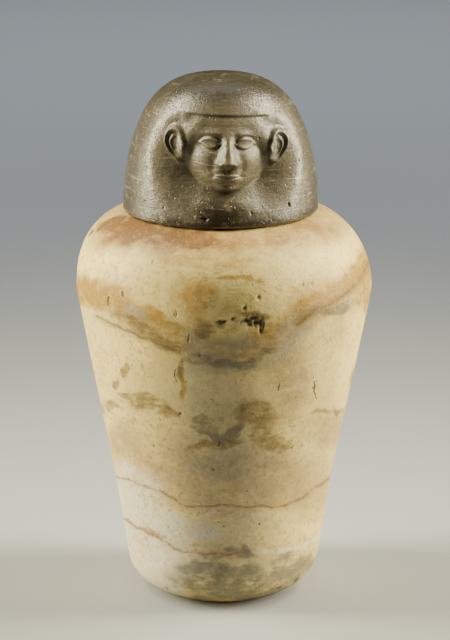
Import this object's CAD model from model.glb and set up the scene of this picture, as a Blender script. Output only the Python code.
# %% [markdown]
# # A canopic jar of two stones
#
# The object is a hollow jar of banded cream stone and, resting in its mouth, a lid of darker stone
# carved as a head in a plain wig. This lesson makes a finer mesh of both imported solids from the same
# formulas, wears it with pits and chips, and gives it a stone made only of shader nodes. Lengths are
# millimetres in the carving, and metres once they reach a mesh.

# %% Load the frame
import itertools
import math

import bpy
import numpy as np
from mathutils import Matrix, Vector


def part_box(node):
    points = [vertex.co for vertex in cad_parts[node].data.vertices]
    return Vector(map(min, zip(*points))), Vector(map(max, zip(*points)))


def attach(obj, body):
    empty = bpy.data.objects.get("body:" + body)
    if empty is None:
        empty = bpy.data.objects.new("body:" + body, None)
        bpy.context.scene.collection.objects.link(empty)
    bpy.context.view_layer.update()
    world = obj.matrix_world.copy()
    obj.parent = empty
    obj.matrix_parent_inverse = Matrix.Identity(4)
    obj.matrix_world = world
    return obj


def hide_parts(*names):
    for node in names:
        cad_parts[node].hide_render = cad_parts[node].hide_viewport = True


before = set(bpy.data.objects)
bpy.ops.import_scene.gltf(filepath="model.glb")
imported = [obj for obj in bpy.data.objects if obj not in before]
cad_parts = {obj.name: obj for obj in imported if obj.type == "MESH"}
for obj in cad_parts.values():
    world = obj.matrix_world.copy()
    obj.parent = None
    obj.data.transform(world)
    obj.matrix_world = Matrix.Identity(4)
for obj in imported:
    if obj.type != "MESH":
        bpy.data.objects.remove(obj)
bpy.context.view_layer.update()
link = bpy.context.scene.collection.objects.link
print("solids:", sorted(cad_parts))

# %% [markdown]
# The jar's height and belly and the lid's top are read from the solids. The rest of the profile is
# repeated here by name, in millimetres.

# %% Sizes
MM = 0.001
jar_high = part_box("jar_body")[1]
lid_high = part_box("head_lid")[1]

JAR_HEIGHT = round(jar_high[2] / MM, 2)
BELLY_RADIUS = round(jar_high[0] / MM, 2)
BELLY_LEVEL = 206.0
FOOT_RADIUS = 60.5
FOOT_ROUND_HEIGHT = 26.0
FOOT_ROUND_WIDTH = 18.5
WALL = 15.0
FLOOR = 22.0
MOUTH_RADIUS = 46.0
MOUTH_DEPTH = 14.0
RIM_WIDTH = 7.2
FOOT_OFFSET = -0.8
MOUTH_OFFSET = -2.1

SEAT_GAP = 0.3
LID_SEAT = JAR_HEIGHT + SEAT_GAP
LID_HEIGHT = round(lid_high[2] / MM, 2) - LID_SEAT
LID_RADIUS = 63.4
LID_EDGE_ROUND = 1.2
PLUG_DEPTH = 11.0
PLUG_CLEARANCE = 2.0
PLUG_TAPER = 1.5
HEAD_TURN = math.radians(4.7)
HEAD_ROLL = math.radians(2.2)
print("jar", JAR_HEIGHT, "tall, lid", LID_HEIGHT, "tall")

# %% [markdown]
# Small tools shape all that follows: a soft step, a soft hill, and hills of random height, which
# stand for what is uneven in a hand-made thing.

# %% Soft steps and hills
def unit(x):
    """x, but no less than 0 and no more than 1."""
    return np.clip(x, 0.0, 1.0)


def step(a, b, x):
    """0 up to a, 1 from b on, and between them 3t² - 2t³, where t is the share of the way."""
    t = unit((x - a) / (b - a))
    return t * t * (3.0 - 2.0 * t)


def mound(*distances):
    """A hill of height 1: e to the minus sum of the squared distances."""
    return np.exp(-sum(d * d for d in distances))


def soft_max(a, b, k):
    """The higher of a and b, with their corner filled: half of a + b + the root of (a - b)² + k²."""
    return 0.5 * (a + b + np.sqrt((a - b) ** 2 + k * k))


# %% Random hills
def hills(points, size, seed):
    """Heights from -1 to 1, drawn for the corners of a lattice of cubes of the given size and blended
    inside each cube by the soft step of the place along each of its edges."""
    place = points / size
    cell = np.floor(place).astype(np.int64)
    share = place - cell
    share = share * share * (3.0 - 2.0 * share)
    total = np.zeros(points.shape[:-1])
    for corner in itertools.product((0, 1), repeat=3):
        at = cell + np.array(corner)
        drawn = at[..., 0] * 374761393 + at[..., 1] * 668265263 + at[..., 2] * 962287 + seed * 1446657
        drawn = (drawn ^ (drawn >> 13)) * 1274126177
        drawn = (drawn ^ (drawn >> 16)) & 0xFFFF
        weight = np.prod(np.where(np.array(corner) == 1, share, 1.0 - share), axis=-1)
        total += weight * (drawn / 32767.5 - 1.0)
    return total


def rough_hills(points, size, seed, layers=3):
    """Random hills with smaller ones on them: each layer has half the size and half the height."""
    return sum(hills(points, size / 2**i, seed + i) / 2**i for i in range(layers))


# %% [markdown]
# A photographer stands nearly two metres off with a long lens and looks down a little. The camera
# is set up before the stone, because each mark is placed by its pixel in the photograph: a ray
# through that pixel finds the mark's place on the stone.

# %% The camera
PHOTO_WIDTH = 450
PHOTO_HEIGHT = 640
SENSOR = 36.0
FOCAL_PIXELS = 2980.3
CAMERA_PLACE = np.array([-0.5, -1889.8, 692.9])
CAMERA_AIM = np.array([0.7, 0.0, 181.1])

camera_data = bpy.data.cameras.new("camera")
camera_data.sensor_width = SENSOR
camera_data.lens = FOCAL_PIXELS * SENSOR / PHOTO_HEIGHT
camera = bpy.data.objects.new("camera", camera_data)
camera.location = CAMERA_PLACE * MM
looking = Vector((CAMERA_AIM - CAMERA_PLACE).tolist())
camera.rotation_euler = looking.to_track_quat("-Z", "Y").to_euler()
link(camera)
bpy.context.scene.camera = camera
print("lens", round(camera_data.lens, 1), "mm")

# %% [markdown]
# The ray is walked in short steps until it passes inside a turned surface, whose radius at each level
# is given by a function. The place is an angle round the axis, from the front, and a level.

# %% Find a pixel on the stone
AHEAD = np.array(looking.normalized())
RIGHT = np.cross(AHEAD, [0.0, 0.0, 1.0])
RIGHT /= np.linalg.norm(RIGHT)
UP = np.cross(RIGHT, AHEAD)
RAY_STEPS = np.linspace(1650.0, 2150.0, 6001)


def photo_ray(x, y):
    """Direction of a pixel: one focal length ahead, plus its offsets from the middle of the picture."""
    direction = FOCAL_PIXELS * AHEAD + (x - PHOTO_WIDTH / 2) * RIGHT - (y - PHOTO_HEIGHT / 2) * UP
    return direction / np.linalg.norm(direction)


def spot(pixel, radius_at, axis_x=0.0):
    """Angle and level where the pixel's ray first comes within radius_at(level) of the axis. A ray that
    misses takes the place where it passes closest."""
    points = CAMERA_PLACE + RAY_STEPS[:, None] * photo_ray(*pixel)
    outside = np.hypot(points[:, 0] - axis_x, points[:, 1]) - radius_at(points[:, 2])
    first = np.argmax(outside < 0) if np.any(outside < 0) else np.argmin(outside)
    x, y, level = points[first]
    return math.atan2(x - axis_x, -y), level


# %% Find the stone on the picture
def on_picture(points):
    """Pixel where each point shows: its offsets right and up over its distance ahead, times the focal
    length, counted from the middle of the picture."""
    offset = points - CAMERA_PLACE
    scale = FOCAL_PIXELS / (offset @ AHEAD)
    return PHOTO_WIDTH / 2 + offset @ RIGHT * scale, PHOTO_HEIGHT / 2 - offset @ UP * scale


def in_sight(points, normals, fade=0.25):
    """1 where the stone faces the camera, fading to 0 past its outline: a step of the cosine of the
    angle between the normal and the way to the camera."""
    towards = CAMERA_PLACE - points
    towards /= np.linalg.norm(towards, axis=-1, keepdims=True)
    return step(-fade, 0.0, np.sum(towards * normals, axis=-1))


# %% [markdown]
# Both pieces are closed grids: rings of points round an axis, shut by one point at each end. numpy
# works out the corners of every face at once, and the mesh takes them in one go. Values that the
# material needs at each point, such as how stained it is, ride along as attributes.

# %% From rings to a mesh
def closed_mesh(name, rings, first, last, marks):
    """Points of all rings row by row between two end points. Face (r, c) joins points (r, c), (r, c+1),
    (r+1, c+1) and (r+1, c), the columns closing on themselves."""
    rows, columns = rings.shape[:2]
    points = np.vstack([first, rings.reshape(-1, 3), last]) * MM
    index = 1 + np.arange(rows * columns).reshape(rows, columns)
    beside = np.roll(index, -1, axis=1)
    quads = np.stack([index[:-1], beside[:-1], beside[1:], index[1:]], axis=-1).reshape(-1, 4)
    below = np.stack([np.zeros(columns, int), beside[0], index[0]], axis=-1)
    above = np.stack([np.full(columns, len(points) - 1), index[-1], beside[-1]], axis=-1)
    mesh = bpy.data.meshes.new(name)
    mesh.from_pydata(points, [], [*below.tolist(), *quads.tolist(), *above.tolist()])
    mesh.polygons.foreach_set("use_smooth", np.ones(len(mesh.polygons), bool))
    for mark, values in marks.items():
        padded = np.concatenate([[values[0].mean()], values.reshape(-1), [values[-1].mean()]])
        layer = mesh.attributes.new(mark, "FLOAT", "POINT")
        layer.data.foreach_set("value", padded.astype(np.float32))
    piece = bpy.data.objects.new(name, mesh)
    link(piece)
    print(name, "has", 2 * len(quads) + 2 * columns, "triangles")
    return piece


# %% [markdown]
# ## The jar
#
# The jar swells gently from a small rounded foot to a high belly and turns in over a full shoulder
# to a narrow rim. One profile runs from the middle of the underside up the outside, over the rim and
# down the inside to the middle of the floor.

# %% Profile of the jar
SHOULDER_POWER = 2.1


def wall_radius(level):
    """Belly radius less what the foot lacks, times (1 - u)^1.2 (1 + 0.5 u), where u is the share of the
    belly's level."""
    u = unit(level / BELLY_LEVEL)
    return BELLY_RADIUS - (BELLY_RADIUS - FOOT_RADIUS) * (1.0 - u) ** 1.2 * (1.0 + 0.5 * u)


def foot_round(level):
    """How far the foot draws in: its width times (1 - level / height)^3."""
    return FOOT_ROUND_WIDTH * unit(1.0 - level / FOOT_ROUND_HEIGHT) ** 3


def shoulder(sweep, top, rim, widest):
    """A squared quarter ellipse: cosine and sine of the sweep, each to the power 2 / SHOULDER_POWER."""
    power = 2 / SHOULDER_POWER
    radius = rim + (widest - rim) * np.cos(sweep) ** power
    return np.stack([radius, BELLY_LEVEL + (top - BELLY_LEVEL) * np.sin(sweep) ** power], axis=-1)


def outer_radius(level):
    """Radius of the outside at any level: the wall below the belly, and above it the shoulder, where
    the radius share is (1 - v^p)^(1 / p), v the share of the shoulder's height and p its power."""
    v = unit((level - BELLY_LEVEL) / (JAR_HEIGHT - BELLY_LEVEL))
    rim = MOUTH_RADIUS + RIM_WIDTH
    above = rim + (BELLY_RADIUS - rim) * (1.0 - v**SHOULDER_POWER) ** (1 / SHOULDER_POWER)
    return np.where(level > BELLY_LEVEL, above, wall_radius(level) - foot_round(level))


def axis_offset(level):
    """Ground by hand, the jar has foot and mouth a little to one side: linear up to the belly, a soft
    step above."""
    below = FOOT_OFFSET * (1.0 - level / BELLY_LEVEL)
    return np.where(level < BELLY_LEVEL, below, MOUTH_OFFSET * step(BELLY_LEVEL, JAR_HEIGHT, level))


# %% The profile's points
SOLE_RINGS = 9


def jar_profile():
    """Radius and level of each ring, and whether it lies outside. Rings lie about 1.3 mm apart outside
    and far apart inside, where nothing fine is carved."""
    quarter = math.pi / 2
    foot_levels = FOOT_ROUND_HEIGHT * np.linspace(0.0, 1.0, 17)[:-1] ** 1.6
    wall_levels = np.linspace(FOOT_ROUND_HEIGHT, BELLY_LEVEL, 140)
    levels = np.concatenate([foot_levels, wall_levels])
    sole_radii = np.linspace(4.0, outer_radius(0.0) - 1.5, SOLE_RINGS)
    sole = np.stack([sole_radii, np.zeros(SOLE_RINGS)], axis=-1)
    outside = np.stack([outer_radius(levels), levels], axis=-1)
    top = shoulder(np.linspace(0.0, quarter, 52)[1:], JAR_HEIGHT, MOUTH_RADIUS + RIM_WIDTH, BELLY_RADIUS)
    rim_radii = np.linspace(MOUTH_RADIUS + RIM_WIDTH - 2.0, MOUTH_RADIUS + 1.0, 4)
    rim = np.stack([rim_radii, np.full(4, JAR_HEIGHT)], axis=-1)
    lip = np.array([[MOUTH_RADIUS + 0.25, JAR_HEIGHT - 0.25], [MOUTH_RADIUS, JAR_HEIGHT - 1.0]])
    sweep = np.linspace(quarter, 0.0, 9)[:-1]
    hollow = shoulder(sweep, JAR_HEIGHT - MOUTH_DEPTH, MOUTH_RADIUS, BELLY_RADIUS - WALL)
    down = np.linspace(BELLY_LEVEL, FLOOR, 17)[:-1]
    inner = np.stack([wall_radius(down) - WALL - foot_round(down - FLOOR), down], axis=-1)
    floor_edge = wall_radius(FLOOR) - WALL - FOOT_ROUND_WIDTH
    floor = np.stack([np.linspace(floor_edge, 6.0, 4), np.full(4, FLOOR)], axis=-1)
    profile = np.vstack([sole, outside, top, rim, lip, hollow, inner, floor])
    outer_count = len(sole) + len(outside) + len(top)
    return profile, np.arange(len(profile)) < outer_count


profile, is_outer = jar_profile()
print("jar profile of", len(profile), "rings")


# %% [markdown]
# The columns crowd towards the front, where the photograph shows the stone, and thin out behind.

# %% Columns round the axis
def columns_round(count, front):
    """Angles from the front, pi s (front + (1 - front) s^4) for s from -1 to 1: dense where s is small."""
    s = np.linspace(-1.0, 1.0, count, endpoint=False)
    return math.pi * s * (front + (1.0 - front) * s**4)


def ring_points(radius, angle, level):
    """x = r sin a, y = -r cos a, z = level: angles are counted from the front."""
    level = np.broadcast_to(level, np.shape(angle))
    return np.stack([radius * np.sin(angle), -radius * np.cos(angle), level], axis=-1)


# %% Marks on the jar, by pixel of the photograph
# Each pit: pixel x and y, half width, half height and depth in millimetres, turn in degrees
JAR_PITS = [
    (247, 321, 3.6, 1.9, 1.8, -24), (253, 319, 3.4, 1.6, 1.8, 10), (256, 323, 3.0, 2.0, 2.0, 30),
    (261, 324, 1.9, 3.0, 1.7, 12), (261, 330, 1.3, 2.2, 1.2, 0), (250, 325, 2.6, 1.2, 1.2, 20),
    (219, 321, 2.2, 1.1, 1.2, -20), (224, 322, 1.6, 1.3, 1.2, 20), (233, 319, 1.4, 1.1, 1.0, 0),
    (245, 308, 1.4, 1.0, 1.1, -30), (259, 297, 1.3, 1.0, 1.0, 0), (175, 314, 0.5, 2.0, 0.6, 4),
    (188, 339, 0.5, 1.8, 0.6, -3), (181, 413, 1.3, 0.9, 0.9, 20), (313, 388, 1.0, 1.0, 0.8, 0),
    (278, 386, 0.9, 0.7, 0.7, 0), (112, 292, 1.2, 0.9, 0.8, 0), (155, 262, 1.0, 1.2, 0.8, 0),
    (308, 257, 1.0, 0.8, 0.7, 0), (304, 285, 1.0, 0.8, 0.8, 0), (313, 284, 0.9, 1.1, 0.8, 0),
    (93, 233, 4.8, 4.8, 0.7, 10), (200, 355, 0.9, 0.8, 0.7, 0), (214, 470, 0.9, 1.1, 0.6, 0),
    (155, 446, 0.8, 0.8, 0.6, 0), (292, 448, 0.9, 0.7, 0.6, 0), (330, 340, 0.8, 1.2, 0.6, 0),
    (260, 524, 0.9, 0.7, 0.6, 0), (297, 581, 4.0, 2.2, 1.6, -30), (280, 589, 3.0, 1.8, 1.3, -12),
    (168, 588, 2.2, 1.3, 0.9, 16), (132, 366, 0.9, 1.0, 0.6, 0), (236, 383, 0.8, 0.8, 0.6, 0),
]
print(len(JAR_PITS), "pits on the jar")

# %% [markdown]
# The stone was laid down in waves, so its colours come in patches and bands. Each kind of colour has
# its own list. A patch is an ellipse on the photograph: pixel x and y, half width and half height in
# pixels, and a turn clockwise in degrees. Random hills bend the ellipses later, and noise in the
# material tears their edges.

# %% Patches of colour
PATCHES = {
    "blush": [
        (136, 230, 34, 16, -24), (165, 238, 40, 17, 2), (196, 240, 30, 11, 3), (116, 223, 18, 13, -30),
    ],
    "tan": [
        (225, 241, 40, 9, 3), (268, 239, 36, 8, -4), (308, 226, 26, 8, 24), (208, 262, 50, 6, 2),
        (318, 298, 38, 18, -24), (196, 302, 20, 22, 0),
    ],
    "orange": [
        (90, 295, 24, 14, 2), (114, 297, 13, 12, 30), (149, 312, 14, 6, 24), (240, 279, 24, 3.2, 6),
        (300, 309, 14, 5, -34), (320, 297, 15, 5, -30), (344, 281, 24, 9, -38), (363, 268, 9, 20, 12),
        (360, 294, 8, 14, 20), (177, 384, 3.6, 18, -3), (154, 531, 9, 2.2, 32), (347, 378, 2.6, 10, 14),
    ],
    "rose": [
        (226, 476, 112, 27, 3), (228, 511, 28, 5, 0), (200, 300, 16, 14, 0), (335, 430, 26, 18, 0),
        (125, 440, 24, 16, 20), (290, 382, 18, 36, 10),
    ],
    "grey": [
        (132, 311, 13, 7, 24), (326, 311, 18, 6, -14), (205, 354, 34, 9, 14), (246, 362, 46, 9, -3),
        (288, 338, 14, 24, 22), (302, 325, 12, 10, 0), (332, 309, 20, 8, -16), (204, 338, 20, 12, 10),
        (246, 342, 22, 8, 0),
    ],
    "shade": [
        (214, 392, 44, 44, 0), (224, 452, 44, 44, 0), (226, 530, 46, 44, 0),
    ],
    "brown": [
        (112, 407, 11, 5, 10), (148, 405, 16, 9, 18), (165, 412, 10, 6, 30), (132, 397, 12, 3.5, 24),
        (255, 416, 22, 12, 16), (272, 440, 22, 9, 16), (177, 368, 4.5, 9, 0), (127, 369, 3.5, 8, -12),
        (122, 383, 3.5, 5, 0), (328, 411, 18, 3, -8), (253, 313, 12, 5, 6), (328, 309, 18, 7, -14),
        (134, 326, 26, 7, 24), (300, 318, 12, 5, -30), (165, 344, 14, 6, 30), (216, 442, 26, 4, -14),
        (200, 446, 14, 3.5, -30), (206, 330, 12, 7, 0),
    ],
    "dark": [
        (200, 426, 16, 7, 24), (214, 436, 9, 6, 50), (231, 430, 14, 5, -24), (195, 418, 9, 4, -10),
        (222, 361, 36, 5, 4), (243, 552, 4, 5, 0), (262, 357, 22, 4, -20), (334, 303, 12, 3, -20),
        (252, 322, 12, 5, 8), (222, 322, 6, 3, -10),
    ],
    "olive": [
        (214, 581, 44, 16, 2), (194, 567, 18, 10, 0), (286, 568, 30, 14, -14), (228, 556, 26, 5, 0),
        (246, 578, 26, 14, 0), (246, 592, 66, 9, -2),
    ],
    "pale": [
        (101, 262, 26, 15, -8), (322, 250, 42, 18, 22), (352, 345, 13, 52, 13), (120, 350, 26, 26, 20),
        (245, 532, 60, 12, 0), (240, 514, 66, 7, 0), (115, 425, 12, 12, 0), (230, 385, 40, 16, 0),
        (300, 528, 24, 8, 0),
    ],
    "white": [
        (130, 508, 28, 34, 14), (144, 560, 32, 36, 10), (122, 478, 14, 14, 0), (166, 588, 16, 10, 0),
        (150, 530, 40, 20, 12), (180, 562, 26, 16, 10), (202, 533, 18, 8, 0),
    ],
}
print(sum(map(len, PATCHES.values())), "patches in", len(PATCHES), "colours")

# %% [markdown]
# Veins are paths from pixel to pixel. A mesh is too coarse for a thin line, so each point carries its
# distance from the nearest vein, no more than FAR pixels, and the material draws the line.

# %% Veins
FAR = 30.0
VEINS = {
    "vein_gap": [
        [(112, 472), (117, 477), (128, 479), (136, 483), (142, 486), (156, 491), (163, 492), (168, 496),
         (176, 499), (181, 504), (190, 506), (206, 506), (222, 504), (236, 505), (250, 507),
         (262, 506), (272, 508), (284, 506), (294, 502), (302, 498), (309, 493), (317, 487), (328, 479)],
        [(124, 518), (131, 522), (137, 527), (144, 530), (149, 534), (156, 536), (162, 540), (168, 543),
         (174, 549), (184, 552), (196, 552), (204, 554), (216, 553), (228, 555), (240, 552)],
    ],
    "crack_gap": [
        [(175, 369), (174, 376), (176, 382)],
        [(313, 382), (314, 386), (313, 391), (315, 399)], [(279, 384), (278, 387), (277, 391)],
        [(188, 334), (189, 338), (187, 342)], [(175, 310), (176, 314), (175, 317)],
        [(108, 297), (107, 301), (108, 306)], [(219, 441), (218, 445)], [(122, 291), (123, 296)],
        [(241, 323), (246, 318), (252, 316), (258, 318), (263, 322), (263, 327), (261, 331)],
        [(216, 320), (221, 324), (226, 320)],
    ],
    "streak_gap": [
        [(265, 551), (276, 552), (286, 550), (300, 547), (309, 542), (315, 540), (322, 533)],
    ],
    "edge_gap": [
        [(97, 317), (107, 323), (116, 326), (124, 331), (133, 333), (141, 338), (150, 339), (158, 344),
         (168, 348), (178, 352)],
        [(300, 322), (309, 315), (318, 307), (327, 305), (338, 297), (347, 292), (358, 282), (369, 262)],
    ],
    "band_gap": [
        [(76, 290), (95, 294), (112, 301), (130, 312), (150, 324), (172, 335), (196, 346), (222, 353),
         (246, 350), (268, 340), (288, 326), (306, 312), (324, 301), (342, 289), (356, 276), (370, 258)],
    ],
    "fringe_gap": [
        [(181, 511), (206, 513), (222, 510), (250, 514), (272, 515), (300, 509)],
    ],
}
print(sum(map(len, VEINS.values())), "veins, cracks and streaks")


# %% From lists to values at each point
def ellipse_share(across, up, wide, tall, turn):
    """Distance from the middle of a turned ellipse, as a share of the way to its edge."""
    c, s = math.cos(math.radians(turn)), math.sin(math.radians(turn))
    return np.hypot((c * across + s * up) / wide, (c * up - s * across) / tall)


def patch_field(px, py, patches):
    """1 in the middle of a patch, 0.5 on its edge and 0 from one and a half times its size: 1.5 less
    the distance as a share of the ellipse. Where patches overlap, the higher value counts."""
    field = np.zeros_like(px)
    for x, y, wide, tall, turn in patches:
        field = np.maximum(field, unit(1.5 - ellipse_share(px - x, py - y, wide, tall, turn)))
    return field


def path_gap(px, py, paths):
    """Distance in pixels to the nearest of the paths, no more than FAR: for each line, the distance to
    the point at that share of its length where the perpendicular meets it."""
    gap = np.full_like(px, FAR)
    for path in paths:
        for (x0, y0), (x1, y1) in zip(path, path[1:]):
            along_x, along_y = x1 - x0, y1 - y0
            share = unit(((px - x0) * along_x + (py - y0) * along_y) / (along_x**2 + along_y**2))
            gap = np.minimum(gap, np.hypot(px - x0 - share * along_x, py - y0 - share * along_y))
    return gap


def unseen_field(points, seed, threshold):
    """Patches for the sides and the back, 0.5 + 1.5 (hills - threshold): the hills are random and drawn
    out sideways."""
    drawn_out = rough_hills(points * np.array([1.0, 1.0, 2.6]), 75.0, seed)
    return unit(0.5 + 1.5 * (drawn_out - threshold))


# %% [markdown]
# Pits and chips are hollows where grains fell out of the stone. A bump on the shader would leave them
# flat at the outline, so they are cut into the mesh: each is a bowl about the place its pixel finds.

# %% Wear of the jar
def jar_place(pixel):
    """Angle and level of a pixel on the jar."""
    return spot(pixel, outer_radius)


def bowl(across, up, wide, tall, turn, ragged):
    """A flat-floored hollow of depth 1: a soft step of the distance as a share of a turned ellipse,
    after the ragged hills have moved its edge."""
    return step(1.15, 0.35, ellipse_share(across, up, wide, tall, turn) + 0.30 * ragged)


# %% Grid of the jar
JAR_COLUMNS = 396
angles = columns_round(JAR_COLUMNS, 0.50)
steps_along = np.hypot(*np.diff(profile, axis=0).T)
along = np.concatenate([[0.0], np.cumsum(steps_along)])
slope = np.gradient(profile, axis=0)
outward = np.stack([slope[:, 1], -slope[:, 0]], axis=-1)
outward /= np.linalg.norm(outward, axis=-1, keepdims=True)
jar_angles, jar_along = np.meshgrid(angles, along)
jar_radius = np.broadcast_to(profile[:, :1], jar_angles.shape)
jar_level = np.broadcast_to(profile[:, 1:], jar_angles.shape)
plain_jar = ring_points(jar_radius, jar_angles, jar_level)
print("jar grid", plain_jar.shape[:2])

# %% Carve the jar
DEEPEST = 6.0
HIGHEST = 0.30
ragged = rough_hills(plain_jar, 2.2, 11)
carve = 0.35 * rough_hills(plain_jar, 60.0, 3, 2) + 0.05 * rough_hills(plain_jar, 5.0, 5, 2)
pit_shade = np.zeros_like(jar_radius)
side_rows = np.flatnonzero(is_outer)[SOLE_RINGS:]
for x, y, wide, tall, depth, turn in JAR_PITS:
    angle, level = jar_place((x, y))
    middle_along = np.interp(level, profile[side_rows, 1], along[side_rows])
    across = ((jar_angles - angle + math.pi) % (2 * math.pi) - math.pi) * jar_radius
    hollow = bowl(across, jar_along - middle_along, wide, tall, turn, ragged)
    carve = carve - depth * hollow * (1.0 + 0.3 * ragged)
    pit_shade = np.maximum(pit_shade, hollow)
touched = is_outer & (profile[:, 1] > 0.01)
carve = np.where(touched[:, None], np.clip(carve, -DEEPEST, HIGHEST), 0.0)
carved_radius = jar_radius + carve * outward[:, :1]
carved_level = jar_level + carve * outward[:, 1:]
jar_points = ring_points(carved_radius, jar_angles, carved_level)
jar_points[..., 2] = np.maximum(jar_points[..., 2], 0.0)
jar_points[..., 0] += axis_offset(jar_level)
print("deepest pit", round(-float(carve.min()), 2), "mm")

# %% [markdown]
# The photograph shows only the front. Behind, random patches fade in, and the long veins and the
# band go on round the back until they meet their other end. A blush also rings the mouth.

# %% Lines round the back
PIXELS_PER_MM = 1.6
WAVE_HEIGHT = 12.0
ROUND_THE_BACK = {
    "vein_gap": [((112, 472), (328, 479)), ((124, 518), (322, 533))],
    "band_gap": [((80, 291), (368, 260))],
}


def back_gap(left, right, seed):
    """Distance in pixels to a line behind: its level goes evenly from the right end to the left one,
    with random waves that die out towards both ends."""
    left_angle, left_level = jar_place(left)
    right_angle, right_level = jar_place(right)
    way = (left_angle - right_angle) % (2 * math.pi)
    share = (jar_angles - right_angle) % (2 * math.pi) / way
    fade = step(0.0, 0.15, share) * step(1.0, 0.85, share)
    waves = WAVE_HEIGHT * rough_hills(plain_jar, 50.0, seed) * fade
    gap = np.abs(jar_level - right_level - (left_level - right_level) * share - waves) * PIXELS_PER_MM
    return np.where((share < 1.0) & is_outer[:, None], np.minimum(gap, FAR), FAR)


# %% Mark the jar
BACK_FADE = 0.8
VEIN_BEND = 0.2
RIM_BLUSH = 0.55
normals = ring_points(outward[:, :1], jar_angles, outward[:, 1:])
sight = in_sight(jar_points, normals) * is_outer[:, None]
unseen = 1.0 - in_sight(jar_points, normals, BACK_FADE)
px, py = on_picture(jar_points)
wavy_x = px + 7.0 * rough_hills(plain_jar, 30.0, 91) + 3.0 * rough_hills(plain_jar, 8.0, 92)
wavy_y = py + 5.0 * rough_hills(plain_jar, 24.0, 93) + 2.5 * rough_hills(plain_jar, 7.0, 94)
vein_x = px + VEIN_BEND * (wavy_x - px)
vein_y = py + VEIN_BEND * (wavy_y - py)
THRESHOLDS = {
    "blush": 0.9, "tan": 0.5, "orange": 0.45, "rose": 0.2, "grey": 0.4, "shade": 0.4, "brown": 0.55,
    "dark": 0.75, "olive": 0.6, "pale": 0.15, "white": 0.6,
}
jar_marks = {"pit": pit_shade}
for seed, (name, patches) in enumerate(PATCHES.items()):
    behind = unseen_field(plain_jar, 50 + 7 * seed, THRESHOLDS[name])
    jar_marks[name] = patch_field(wavy_x, wavy_y, patches) * sight + behind * unseen
for name, paths in VEINS.items():
    jar_marks[name] = FAR + (path_gap(vein_x, vein_y, paths) - FAR) * sight
for name, ends in ROUND_THE_BACK.items():
    for seed, (left, right) in enumerate(ends, 131):
        jar_marks[name] = np.minimum(jar_marks[name], back_gap(left, right, seed))
jar_marks["blush"] = np.maximum(jar_marks["blush"], RIM_BLUSH * step(238.0, 250.0, jar_level))
print(len(jar_marks), "values at each point of the jar")

# %% Make the jar
jar = closed_mesh(
    "jar_of_banded_stone", jar_points, [FOOT_OFFSET, 0.0, 0.0], [FOOT_OFFSET, 0.0, FLOOR], jar_marks
)
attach(jar, "root")
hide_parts("jar_body")

# %% [markdown]
# ## The lid
#
# The lid is one carved block. Its outer surface is one number, the radius, for each angle from the
# middle of the face and each height above the lid's edge. The wig is a plain dome with an opening
# sunk in its front, the face swells out of the opening, and the ears stand on its wall. The face is
# 60 modules high, and brow, nose base and chin divide it in thirds.

# %% Proportions of the head
FACE_HEIGHT = 60.0
MODULE = FACE_HEIGHT / 60.0
CHIN_LEVEL = 18.5
FACE_WIDTH = 53.0
THIRD = 20.0
FIFTH = FACE_WIDTH / MODULE / 5.0
NOSE_BASE = THIRD
BROW = 2.0 * THIRD
EYE = BROW - 0.3 * THIRD
MOUTH = NOSE_BASE - THIRD / 3.0
WIG_EDGE = BROW + 0.55 * THIRD
FACE_MIDDLE = 1.07 * THIRD
WIDEST = 1.35 * THIRD
print("eye line", round(EYE, 1), "modules above the chin")


# %% [markdown]
# Each feature is a sum of soft hills and hollows over the face, at x modules beside its middle line
# and y modules above the chin.

# %% Brows and eyes
def brow_relief(x, y):
    """A soft ridge along an arch that is highest above the outer half of the eye."""
    peak = 12.5
    arch = BROW + 0.3 - np.where(x < peak, 0.006, 0.030) * (x - peak) ** 2
    return 1.5 * mound((y - arch) / 2.5) * step(25.0, 16.0, x) * step(0.0, 9.0, x)


def eye_relief(x, y):
    """A sunk socket, a round ball in it, and two lids whose edges follow (1 - a²)^0.8 across the eye."""
    middle = 1.03 * FIFTH
    across = (x - middle) / 6.2
    rise = y - EYE
    lens = unit(1.0 - across**2) ** 0.8
    upper, lower = 2.6 * lens, 2.0 * lens
    ball = np.sqrt(unit(1.0 - 0.8 * across**2 - (rise / 4.4) ** 2))
    opened = np.where(rise > 0, rise / np.maximum(upper, 0.3), -rise / np.maximum(lower, 0.3))
    side = np.abs(across)
    socket = -2.6 * mound((x - middle + 0.3) / 7.6, rise / 3.8)
    socket = socket - 0.6 * mound((x - 5.0) / 2.2, (rise + 0.3) / 3.0)
    lids = 0.85 * mound((rise - upper - 0.5) / 0.65) * step(1.35, 0.9, side)
    lids = lids + 0.45 * mound((rise + lower + 0.45) / 0.55) * step(1.25, 0.9, side)
    crease = -0.45 * mound((rise - upper - 1.9) / 0.6) * step(1.15, 0.8, side)
    return socket + 2.4 * ball * step(1.3, 0.95, side) * step(2.2, 0.8, opened) + lids + crease


# %% Nose
def nose_relief(x, y):
    """A ridge that grows higher and wider from brow to tip, a round tip, wings and two nostrils."""
    tip = NOSE_BASE + 3.0
    down = unit((BROW - y) / (BROW - tip))
    height = 2.2 + 4.2 * down**1.1
    half = 1.28 * (2.6 + 1.5 * down**1.5)
    along_nose = step(BROW + 5.5, BROW - 5.0, y) * step(NOSE_BASE - 1.6, NOSE_BASE + 3.0, y)
    ridge = height * np.exp(-((x / half) ** 2.5)) * along_nose
    wings = 3.0 * mound((x - 4.7) / 2.0, (y - NOSE_BASE - 2.2) / 2.1)
    nostrils = -1.2 * mound((x - 2.3) / 1.2, (y - NOSE_BASE + 0.1) / 0.9)
    return ridge + 0.8 * mound(x / 3.4, (y - tip) / 2.8) + wings + nostrils


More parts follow.
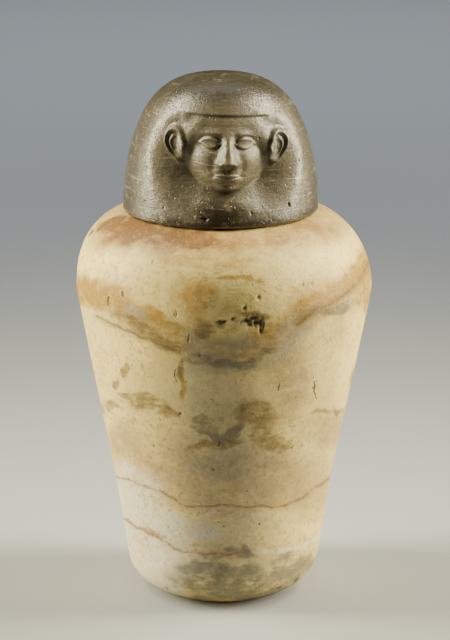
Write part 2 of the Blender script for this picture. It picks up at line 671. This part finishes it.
# %% Mouth, chin and cheeks
def mouth_relief(x, y):
    """Two lips that thin out to the corners as (1 - a²)^0.7, the line between them, and the muzzle
    under them."""
    half = 8.6
    lens = unit(1.0 - (x / half) ** 2)
    rise = y - MOUTH - 0.7 * (x / half) ** 2
    upper = np.maximum(2.5 * lens**0.7 - 0.5 * mound(x / 1.6), 0.01)
    lower = np.maximum(2.9 * lens**0.7, 0.01)
    upper_lip = 1.25 * unit(1.0 - (rise / upper) ** 2) ** 0.8
    lower_lip = 1.40 * unit(1.0 - (rise / lower) ** 2) ** 0.7
    lips = np.where(rise > 0, upper_lip, lower_lip) * step(0.0, 0.3, lens)
    muzzle = 2.8 * mound(x / 10.5, (y - MOUTH) / 7.5)
    groove = -0.5 * mound(x / 1.3, (y - MOUTH - 4.4) / 1.9)
    parting = -1.1 * mound(rise / 0.6) * step(9.4, 7.4, x)
    corners = -0.6 * mound((x - 9.0) / 1.8, (y - MOUTH - 0.7) / 1.7)
    under_lip = -1.4 * mound(x / 7.0, (y - MOUTH + 4.9) / 1.9)
    return muzzle + lips + groove + parting + corners + under_lip


def chin_and_cheek_relief(x, y):
    """A round chin, two high cheeks and the soft folds beside the nose."""
    chin = 2.6 * mound(x / 8.0, (y - 0.27 * THIRD) / 4.4)
    cheeks = 1.1 * mound((x - 15.0) / 8.0, (y - NOSE_BASE - 4.0) / 7.5)
    return chin + cheeks - 0.7 * mound((x - 9.3) / 2.4, (y - NOSE_BASE + 1.5) / 4.2)


# %% The whole face
def face_radius(angle, y):
    """Level sections are ellipses about a centre c in front of the axis, so the ray at an angle meets
    each at r = (B + root(B² - AC)) / A, with A = sin²/w² + cos²/d², B = c cos / d², C = c²/d² - 1."""
    sine, cosine = np.sin(angle), np.cos(angle)
    depth = 30.0 * MODULE
    down = unit((WIDEST - y) / WIDEST)
    above = 1.0 - unit((y - WIDEST) / 60.0) ** 2
    narrowing = np.where(y < WIDEST, (1.0 - down**2.8) ** 0.52, above)
    half_width = np.maximum(FACE_WIDTH / 2.0 * narrowing, 0.001)
    half_depth = np.maximum(depth * np.sqrt(1.0 - down**10), 0.001)
    bend = np.where(y < FACE_MIDDLE, 300.0, 76.0)
    centre = LID_RADIUS - (7.2 + (y - FACE_MIDDLE) ** 2 / bend) * MODULE - depth
    a = (sine / half_width) ** 2 + (cosine / half_depth) ** 2
    b = centre * cosine / half_depth**2
    inside = b * b - a * ((centre / half_depth) ** 2 - 1.0)
    met = (inside > 0) & (y > 0) & (cosine > 0.2)
    radius = np.where(met, (b + np.sqrt(np.maximum(inside, 0.0))) / a, 0.0)
    x = np.abs(radius * sine) / MODULE
    relief = brow_relief(x, y) + eye_relief(x, y) + nose_relief(x, y) + mouth_relief(x, y)
    relief = relief + chin_and_cheek_relief(x, y)
    return np.where(met, radius + MODULE * relief * step(0.3, 0.75, cosine), 0.0)


# %% [markdown]
# An ear is a tall oval plate with a rolled rim, a groove and a fold inside it, a deep hollow and a
# small flap. The distance from its middle, as a share of the oval, places them all.

# %% Ears
def ear_relief(angle, y):
    """How far the ear stands out, and how solid it is: 1 inside the oval and 0 just outside it."""
    half_width, half_height = 6.4, 10.8
    v = y - (BROW - 0.45 * THIRD)
    u = (np.abs(angle) - math.radians(38.5)) * 0.79 * LID_RADIUS / MODULE - 0.22 * v
    width = half_width * (1.0 + 0.26 * v / half_height - 0.1 * (v / half_height) ** 2)
    out = np.hypot(u / width, v / half_height)
    around = np.arctan2(v / half_height, u / width)
    rolled = 1.35 * mound((out - 0.86) / 0.13) * step(-2.2, -1.2, around) * step(3.1, 2.5, around)
    groove = -0.4 * mound((out - 0.64) / 0.11) * step(-1.4, -0.6, around) * step(2.7, 2.0, around)
    fold = 0.9 * mound((out - 0.44) / 0.10) * step(-1.2, -0.5, around) * step(2.1, 1.2, around)
    hollow = -0.7 * mound((u + 1.3) / 2.4, (v + 1.0) / 4.4)
    hollow = hollow - 0.4 * mound((u + 1.0) / 2.4, (v - 5.0) / 2.4)
    flap = 1.1 * mound((u + 4.8) / 1.6, (v + 2.6) / 2.1)
    lobe = 0.7 * mound((u + 1.3) / 3.0, (v + 9.6) / 2.2)
    relief = 1.9 + 0.12 * u + rolled + groove + fold + hollow + flap + lobe
    return relief, step(1.22, 0.92, out)


# %% [markdown]
# The opening of the wig has no edge below, soft rolls of hair at the sides, and above a straight
# crisp edge over the forehead that swings up softly round each ear.

# %% The wig and its opening
DOME_RISE = 1.95
DOME_SPREAD = 3.15


def dome_radius(level):
    """Lid radius times (1 - t^rise)^(1 / spread), t the share of the lid's height. The powers make the
    sides nearly upright and the crown low."""
    t = unit(level / LID_HEIGHT)
    return LID_RADIUS * (1.0 - t**DOME_RISE) ** (1 / DOME_SPREAD)


def opening_depth(angle, y, wig):
    """Depth of the cut: a depth for each height, times a soft step at the side and one at the top edge."""
    side = np.degrees(np.abs(angle))
    half_angle = 43.0 + 9.0 * step(-5.0, 30.0, y) - 13.0 * step(37.5, 61.5, y)
    inward = np.radians(half_angle - side) * wig / MODULE
    slope_width = 27.0 - 8.0 * step(4.0, 30.0, y)
    side_wall = step(0.0, 1.0, (inward + 8.0) / (slope_width + 8.0))
    forehead = step(36.0, 25.0, side)
    top = step(-2.5, 8.5, WIG_EDGE - y) * (1.0 - forehead) + step(-0.3, 1.3, WIG_EDGE - y) * forehead
    behind_face = 0.3 + 14.2 * step(-15.0, 15.0, y) - 8.5 * step(10.0, 40.0, y)
    under_chin = 0.45 * step(27.0, 6.0, side) * step(3.0, -7.0, y)
    under_ear = 0.45 * mound((side - 32.0) / 8.0, (y - 31.0) / 11.0)
    behind_face = behind_face * (1.0 - under_chin - under_ear)
    temple = step(BROW - 10.0, BROW + 7.0, y) * step(46.0, 22.0, side)
    depth = behind_face * (1.0 - temple) + 1.4 * temple
    return MODULE * depth * side_wall * top


def lid_radius(angle, level):
    """The wig less its opening, then the higher of that and the face, and the ears on top. The head is
    tipped: angles shift with height and heights with the sideways place."""
    wig = dome_radius(level)
    tipped = angle - HEAD_ROLL * (level - LID_HEIGHT / 2.0) / np.maximum(wig, 8.0)
    y = (level + HEAD_ROLL * wig * np.sin(angle) - CHIN_LEVEL) / MODULE
    opening = wig - opening_depth(tipped, y, wig)
    face = face_radius(tipped, y)
    face = np.where(y > WIG_EDGE - 0.6, np.minimum(face, opening), face)
    head = np.where(face > 5.0, soft_max(opening, face, 1.6 * MODULE), opening)
    relief, solid = ear_relief(tipped, y)
    carved = head + MODULE * relief * solid
    return np.where(np.cos(angle) < -0.2, wig, carved)


# %% [markdown]
# The lid's rings are made like the jar's, with fewer and smaller pits. Its underside is a plain plug,
# which stands in the mouth and doesn't show.

# %% Marks on the lid, by pixel of the photograph
# Each pit: pixel x and y, half width, half height and depth in millimetres, turn in degrees
LID_PITS = [
    (290, 205, 1.0, 1.6, 1.0, 20), (145, 201, 0.8, 0.8, 0.7, 0), (150, 181, 0.7, 0.9, 0.5, 0),
    (205, 219, 2.2, 1.3, 0.9, -15), (163, 208, 0.9, 0.7, 0.5, 0), (290, 186, 0.6, 0.8, 0.5, 0),
    (182, 107, 0.7, 0.6, 0.4, 0), (240, 90, 0.9, 0.8, 0.5, 0), (262, 139, 0.7, 0.7, 0.4, 0),
    (146, 167, 0.7, 0.8, 0.5, 0), (157, 130, 0.7, 0.9, 0.5, 0), (286, 99, 0.8, 0.6, 0.4, 0),
    (213, 92, 0.8, 0.5, 0.4, 0), (170, 86, 0.8, 0.6, 0.4, 0), (305, 128, 0.7, 0.7, 0.4, 0),
    (300, 160, 0.7, 0.9, 0.4, 0), (133, 176, 0.8, 0.7, 0.4, 0), (252, 214, 0.8, 0.8, 0.5, 0),
]
print(len(LID_PITS), "pits on the lid")

# %% Shape the lid
LID_COLUMNS = 500
CROWN_START = 0.86
LID_DEEPEST = 3.0
LID_HIGHEST = 0.2
lid_row = columns_round(LID_COLUMNS, 0.42)
side_levels = np.linspace(LID_EDGE_ROUND, CROWN_START * LID_HEIGHT, 150)
crown_radii = dome_radius(CROWN_START * LID_HEIGHT) * np.linspace(1.0, 0.0, 26)[1:-1]
crown_levels = LID_HEIGHT * (1.0 - (crown_radii / LID_RADIUS) ** DOME_SPREAD) ** (1 / DOME_RISE)
carved_levels = np.concatenate([side_levels, crown_levels])
lid_angles, lid_levels = np.meshgrid(lid_row, carved_levels)
lid_radii = lid_radius(lid_angles, lid_levels)
plain_lid = ring_points(dome_radius(lid_levels), lid_angles, lid_levels)
lid_ragged = rough_hills(plain_lid, 1.6, 23)
lid_wear = 0.16 * rough_hills(plain_lid, 26.0, 31, 2) + 0.035 * rough_hills(plain_lid, 3.0, 37, 2)
lid_pit_shade = np.zeros_like(lid_radii)
for x, y, wide, tall, depth, turn in LID_PITS:
    angle, level = spot((x, y), lambda z: dome_radius(z - LID_SEAT), MOUTH_OFFSET)
    across = (lid_angles - (angle - HEAD_TURN)) * dome_radius(level - LID_SEAT)
    hollow = bowl(across, lid_levels - (level - LID_SEAT), wide, tall, turn, lid_ragged)
    lid_wear = lid_wear - depth * hollow
    lid_pit_shade = np.maximum(lid_pit_shade, hollow)
edge_fade = step(0.0, 4.0, carved_levels)[:, None] * 0.8 + 0.2
lid_radii = lid_radii + np.clip(lid_wear, -LID_DEEPEST, LID_HIGHEST) * edge_fade
print("lid radii from", round(float(lid_radii.min()), 1), "to", round(float(lid_radii.max()), 1), "mm")

# %% Close the lid below
plug = MOUTH_RADIUS - PLUG_CLEARANCE
edge = lid_radii[0]
under_profile = [
    ((plug - PLUG_TAPER) * 0.6, -PLUG_DEPTH),
    (plug - PLUG_TAPER - 1.0, -PLUG_DEPTH),
    (plug - PLUG_TAPER, -PLUG_DEPTH + 1.0),
    (plug - 0.3, -0.8),
    (plug + 0.5, 0.0),
    (edge - 4.0, 0.0),
    (edge - LID_EDGE_ROUND, 0.0),
    (edge - 0.35 * LID_EDGE_ROUND, 0.35 * LID_EDGE_ROUND),
]
under = [ring_points(radius, lid_row, level) for radius, level in under_profile]
carved_rings = ring_points(lid_radii, lid_angles, lid_levels)
lid_rings = np.concatenate([np.stack(under), carved_rings])
print("plug", round(2.0 * plug, 1), "mm across")

# %% Mark the lid and make it
rise = lid_levels - CHIN_LEVEL - 1.1 * THIRD
warm = mound(lid_radii * np.sin(lid_angles) / 34.0, rise / 36.0) * (np.cos(lid_angles) > 0.0)
stain = mound((lid_levels - 1.0) / 5.0) * step(0.2, 0.7, np.cos(lid_angles - 0.15))
stain = np.maximum(stain, mound((lid_angles + 0.10) / 0.34, (lid_levels - 11.0) / 11.0))
flank = step(0.84, 0.96, np.abs(np.sin(lid_angles)))
crown = step(0.72 * LID_HEIGHT, 0.98 * LID_HEIGHT, lid_levels)
lid_fields = {"pit": lid_pit_shade, "warm": warm, "stain": stain, "flank": flank, "crown": crown}
unmarked = np.zeros((len(under), LID_COLUMNS))
lid_marks = {name: np.concatenate([unmarked, field]) for name, field in lid_fields.items()}


def seat(points):
    """Turn the head on its axis and set it down on the jar's mouth, which is a little off the axis."""
    c, s = math.cos(HEAD_TURN), math.sin(HEAD_TURN)
    turned = points @ np.array([[c, s, 0.0], [-s, c, 0.0], [0.0, 0.0, 1.0]])
    return turned + np.array([MOUTH_OFFSET, 0.0, LID_SEAT])


lid = closed_mesh(
    "head_of_dark_stone",
    seat(lid_rings),
    seat(np.array([0.0, 0.0, -PLUG_DEPTH])),
    seat(np.array([0.0, 0.0, LID_HEIGHT])),
    lid_marks,
)
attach(lid, "root")
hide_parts("head_lid")


# %% [markdown]
# ## Stone from nodes
#
# Shader maths is easier to read as sums and products than as boxes and wires. One small class wraps
# a socket: +, - and * add Math nodes, and one method adds any other node.

# %% A socket that can be reckoned with
class Shade:
    """A socket in a material's tree."""

    def __init__(self, tree, socket):
        self.tree = tree
        self.socket = socket

    def node(self, kind, settings, sockets, output=0):
        """Add a node: its settings first, then values or links for its sockets. Returns one output."""
        made = self.tree.nodes.new(kind)
        for name, value in settings.items():
            setattr(made, name, value)
        for name, value in sockets.items():
            if isinstance(value, Shade):
                self.tree.links.new(value.socket, made.inputs[name])
            else:
                made.inputs[name].default_value = value
        return Shade(self.tree, made.outputs[output])

    def math(self, operation, *values):
        return self.node("ShaderNodeMath", {"operation": operation}, dict(enumerate(values)))

    def __add__(self, other):
        return self.math("ADD", self, other)

    def __radd__(self, other):
        return self.math("ADD", other, self)

    def __sub__(self, other):
        return self.math("SUBTRACT", self, other)

    def __rsub__(self, other):
        return self.math("SUBTRACT", other, self)

    def __mul__(self, other):
        return self.math("MULTIPLY", self, other)

    def __rmul__(self, other):
        return self.math("MULTIPLY", other, self)


# %% Helpers for stone
def linear(red, green, blue):
    """A colour as a painter reads it off a screen, 0 to 255, turned into light: c is its share of 255,
    and the light is ((c + 0.055) / 1.055)^2.4."""
    share = (np.array([red, green, blue]) / 255.0 + 0.055) / 1.055
    return (*(share**2.4).tolist(), 1.0)


def ramp(value, low, high):
    """0 below low and 1 above high, straight between."""
    return value.node("ShaderNodeMapRange", {"clamp": True}, {0: value, 1: low, 2: high, 3: 0.0, 4: 1.0})


def coats(colour, layers):
    """Colours laid on one after the other, each as thick as its mask says."""
    for mask, over in layers:
        sockets = {0: mask, 6: colour, 7: linear(*over)}
        colour = mask.node("ShaderNodeMix", {"data_type": "RGBA"}, sockets, output=2)
    return colour


def grain(place, scale, detail=4.0, roughness=0.55, distortion=0.0):
    """Cloudy noise, about 0.5 on average; scale counts its lumps in a metre."""
    sockets = {"Vector": place, "Scale": scale, "Detail": detail, "Roughness": roughness}
    return place.node("ShaderNodeTexNoise", {}, sockets | {"Distortion": distortion})


def layered(place, sideways, upright, **looks):
    """Noise with so many lumps in a metre sideways and upright: more of them upright lays it in beds."""
    scaled = place.node("ShaderNodeMapping", {}, {"Vector": place, "Scale": (sideways, sideways, upright)})
    return grain(scaled, 1.0, **looks)


def flecks(place, scale, core, edge, clusters):
    """Dark specks at the middles of Voronoi cells, only where a coarser noise gathers them."""
    cells = place.node("ShaderNodeTexVoronoi", {}, {"Vector": place, "Scale": scale})
    return (1.0 - ramp(cells, core, edge)) * clusters


def attribute(place, name):
    """A value that the mesh carries at each point."""
    return place.node("ShaderNodeAttribute", {"attribute_name": name}, {}, output=2)


def new_stone(name):
    """A material, its surface shader and a Shade of the Object coordinates to start from."""
    material = bpy.data.materials.new(name)
    material.use_nodes = True
    tree = material.node_tree
    shader = tree.nodes["Principled BSDF"]
    coordinates = tree.nodes.new("ShaderNodeTexCoord")
    return material, shader, Shade(tree, coordinates.outputs["Object"])


def finish_stone(piece, material, shader, colour, height, roughness):
    """Colour, relief under a millimetre and roughness go to the shader, and the stone to its piece."""
    relief = {"Strength": 0.55, "Distance": 0.0007, "Height": height}
    bump = height.node("ShaderNodeBump", {}, relief)
    for name, shade in {"Base Color": colour, "Normal": bump, "Roughness": roughness}.items():
        shade.tree.links.new(shade.socket, shader.inputs[name])
    piece.data.materials.append(material)
    print(piece.name, "has a stone of", len(material.node_tree.nodes), "nodes")


# %% [markdown]
# The jar's stone is cloudy cream with patches, a dark band, thin veins and dirt in its pores. A picture
# wrapped round it would end at the outline and carry the picture's light. Coats of noise laid over the
# mesh's marks go all the way round and stay sharp close up.

# %% Stone of the jar: ground colour
jar_material, jar_shader, place = new_stone("banded_cream_stone")
cloud = grain(place, 20.0, detail=5.0)
strata = layered(place, 7.0, 46.0, detail=6.0, roughness=0.6, distortion=0.6)
mottle = grain(place, 130.0, detail=7.0, roughness=0.66)
fine = grain(place, 620.0, detail=4.0, roughness=0.6)
torn = (layered(place, 60.0, 110.0, detail=10.0, roughness=0.72) - 0.5) * 4.5
colour = coats(linear(208, 186, 112), [
    (ramp(cloud, 0.36, 0.64), (230, 208, 138)),
    (ramp(strata, 0.50, 0.72) * 0.45, (190, 158, 92)),
    (ramp(strata, 0.46, 0.30) * 0.35, (218, 204, 146)),
])

# %% Stone of the jar: patches
hatching = layered(place, 90.0, 420.0, detail=5.0, roughness=0.65)
broken = 0.42 + ramp(hatching, 0.38, 0.60) * 0.34 + ramp(mottle, 0.42, 0.58) * 0.34


def patch(name, strength, crisp, tearing=1.0):
    """Mask of the field of that name, torn by noise. It mixes a soft and a crisp edge, and the crisper
    it is, the more the hatching breaks it."""
    field = attribute(place, name) * (torn * tearing + 1.0)
    soft = ramp(field, 0.05, 0.95) * (1.0 - crisp)
    hard = ramp(field, 0.25, 0.68) * crisp
    return (soft + hard * broken) * strength


band = (1.0 - ramp(attribute(place, "band_gap") + torn * 4.0, 8.0, 17.0)) * broken
colour = coats(colour, [
    (patch("pale", 0.85, 0.0), (246, 218, 136)),
    (patch("rose", 0.80, 0.1, 0.7), (170, 144, 98)),
    (patch("white", 0.95, 0.2), (224, 216, 188)),
    (patch("tan", 0.70, 0.2), (180, 140, 64)),
    (band * 0.95, (160, 128, 58)),
    (patch("shade", 0.58, 0.0, 0.6), (138, 135, 126)),
    (patch("blush", 1.00, 0.0, 0.45), (116, 80, 40)),
    (patch("orange", 1.00, 0.6), (160, 124, 34)),
    (patch("grey", 0.60, 0.2), (146, 138, 122)),
    (patch("olive", 0.90, 0.4), (104, 102, 88)),
    (patch("brown", 0.92, 0.80), (122, 102, 58)),
    (patch("dark", 0.80, 0.85), (98, 90, 76)),
])


# %% Stone of the jar: veins
def line(name, wander, core, rim):
    """1 within core pixels of the paths of that name and 0 past rim, after the mottle has made the gap
    wander by so many pixels."""
    return 1.0 - ramp(attribute(place, name) + (mottle - 0.5) * wander, core, rim)


vein = line("vein_gap", 5.0, 0.3, 1.5)
halo = line("vein_gap", 5.0, 1.0, 5.0)
crack = line("crack_gap", 2.0, 0.2, 1.1)
streak = line("streak_gap", 7.0, 0.5, 3.5)
edge = line("edge_gap", 6.0, 0.3, 1.8) * 0.6 + line("edge_gap", 6.0, 1.5, 6.0) * 0.4
fringe = line("fringe_gap", 8.0, 2.0, 6.0) * ramp(mottle, 0.50, 0.58)

# %% Stone of the jar: specks and all that lies on top
speck = flecks(place, 230.0, 0.06, 0.17, ramp(grain(place, 55.0), 0.51, 0.62))
crumbs = grain(place, 330.0, detail=5.0, roughness=0.7)
pit = attribute(place, "pit")
colour = coats(colour, [
    (halo * 0.30, (176, 140, 90)),
    (vein * 0.75, (124, 98, 66)),
    (edge * 0.85, (100, 80, 44)),
    (streak * 0.55, (236, 228, 200)),
    (fringe * 0.50, (228, 208, 176)),
    (ramp(mottle, 0.52, 0.66) * ramp(cloud, 0.40, 0.60) * 0.45, (170, 144, 84)),
    (ramp(mottle, 0.45, 0.30) * 0.18, (232, 214, 160)),
    (ramp(crumbs, 0.52, 0.62) * (0.30 + ramp(strata, 0.45, 0.60) * 0.30), (138, 116, 76)),
    (ramp(crumbs, 0.44, 0.34) * 0.14, (236, 222, 180)),
    (speck * 0.75, (84, 62, 36)),
    (crack * 0.85, (62, 46, 30)),
    (ramp(pit, 0.10, 0.90) * 0.85, (70, 54, 34)),
])

# %% Stone of the jar: relief and gloss
scratches = layered(place, 60.0, 900.0, detail=3.0)
height = mottle * 0.9 + fine * 0.5 + scratches * 0.25 - speck * 0.9 - crack * 2.2 - vein * 0.5
roughness = 0.46 + ramp(mottle, 0.30, 0.70) * 0.16 + pit * 0.3
jar_shader.inputs["Specular IOR Level"].default_value = 0.28
finish_stone(jar, jar_material, jar_shader, colour, height, roughness)

# %% [markdown]
# The lid's stone is darker and polished, with scuffs, fine pits and a stain low in front. One low
# roughness would look like plastic, so the polish is broken by the same noises as the colour.

# %% Stone of the lid: colour
lid_material, lid_shader, place = new_stone("polished_dark_stone")
cloud = grain(place, 34.0, detail=6.0, roughness=0.6)
mottle = grain(place, 170.0, detail=7.0, roughness=0.66)
fine = grain(place, 800.0, detail=4.0)
crumbs = grain(place, 420.0, detail=5.0, roughness=0.7)
scratches = layered(place, 45.0, 700.0, detail=4.0, roughness=0.6, distortion=0.8)
speck = flecks(place, 330.0, 0.08, 0.20, ramp(grain(place, 80.0), 0.47, 0.58))
pit, warm, stain, flank = (attribute(place, name) for name in ("pit", "warm", "stain", "flank"))
crown = ramp(attribute(place, "crown") + cloud - 0.5, 0.1, 0.8)
colour = coats(linear(76, 71, 60), [
    (ramp(cloud, 0.36, 0.64), (114, 107, 92)),
    (crown * 0.85, (38, 35, 27)),
    (ramp(warm + (cloud - 0.5) * 1.2, 0.2, 0.9) * 0.8, (92, 84, 58)),
    (ramp(stain + (mottle - 0.5) * 1.4, 0.20, 0.8) * 0.88, (54, 46, 34)),
    (flank * 0.75, (52, 48, 38)),
    (ramp(mottle, 0.51, 0.66) * 0.60, (58, 50, 34)),
    (ramp(mottle, 0.45, 0.32) * (0.40 - crown * 0.33), (166, 154, 126)),
    (ramp(crumbs, 0.54, 0.64) * 0.50, (48, 42, 28)),
    (ramp(scratches, 0.60, 0.68) * (0.45 - crown * 0.25), (178, 168, 142)),
    (speck * 0.6, (44, 36, 24)),
    (ramp(pit, 0.15, 0.9) * 0.8, (40, 32, 22)),
])

# %% Stone of the lid: relief and gloss
height = mottle * 1.0 + crumbs * 0.6 + fine * 0.3 + scratches * 0.5 - speck * 1.0
polish = 0.15 + ramp(mottle, 0.42, 0.64) * 0.17 + ramp(crumbs, 0.50, 0.62) * 0.14
finish_stone(lid, lid_material, lid_shader, colour, height, polish + pit * 0.3 + warm * 0.12 + flank * 0.12)

# %% [markdown]
# ## The studio
#
# A plain pale floor runs far enough back to fill the picture. Two tall warm lights stand left and
# right of the jar, so that its flanks are bright and its middle is quiet. Two small ones, higher and
# a little behind, put the highlights on the crown. A cool one lights the floor behind the jar, and
# the room adds a faint light from all sides.

# %% Floor
FLOOR_HALF = 6.0
floor_mesh = bpy.data.meshes.new("studio_floor")
corners = [(FLOOR_HALF * x, FLOOR_HALF * y, 0.0) for x, y in ((-1, -1), (1, -1), (1, 1), (-1, 1))]
floor_mesh.from_pydata(corners, [], [(0, 1, 2, 3)])
studio_floor = bpy.data.objects.new("studio_floor", floor_mesh)
link(studio_floor)
floor_material, floor_shader = new_stone("pale_floor")[:2]
floor_shader.inputs["Base Color"].default_value = linear(160, 162, 165)
floor_shader.inputs["Roughness"].default_value = 0.9
studio_floor.data.materials.append(floor_material)
print("floor", 2 * FLOOR_HALF, "m wide")


# %% Lights
def soft_light(name, place, aim, wide, tall, power, spread, colour):
    """A rectangle of light at a place, turned to face the aim; power in watts, spread in degrees."""
    data = bpy.data.lights.new(name, "AREA")
    data.shape = "RECTANGLE"
    data.size = wide
    data.size_y = tall
    data.energy = power
    data.color = colour
    data.spread = math.radians(spread)
    lamp = bpy.data.objects.new(name, data)
    lamp.location = place
    lamp.rotation_euler = (Vector(aim) - Vector(place)).to_track_quat("-Z", "Y").to_euler()
    link(lamp)


MIDDLE = (0.0, 0.0, 0.40)
WARM = (1.0, 0.92, 0.66)
COOL = (0.90, 0.96, 1.0)
soft_light("left_light", (-1.15, 0.01, 0.78), MIDDLE, 0.40, 1.4, 17.5, 90.0, WARM)
soft_light("right_light", (1.15, 0.03, 0.78), MIDDLE, 0.40, 1.4, 17.5, 90.0, WARM)
soft_light("upper_left_light", (-0.82, 0.20, 1.32), MIDDLE, 0.30, 0.30, 1.5, 50.0, WARM)
soft_light("upper_right_light", (0.85, 0.28, 1.26), MIDDLE, 0.30, 0.30, 1.9, 50.0, WARM)
soft_light("floor_light", (0.0, 1.9, 2.2), (0.0, 1.9, 0.0), 3.2, 2.2, 26.0, 90.0, COOL)
world = bpy.data.worlds.new("soft_room")
world.use_nodes = True
room = world.node_tree.nodes["Background"]
room.inputs["Color"].default_value = (0.75, 0.80, 0.85, 1.0)
room.inputs["Strength"].default_value = 0.02
bpy.context.scene.world = world
print(len(bpy.data.lights), "lights")
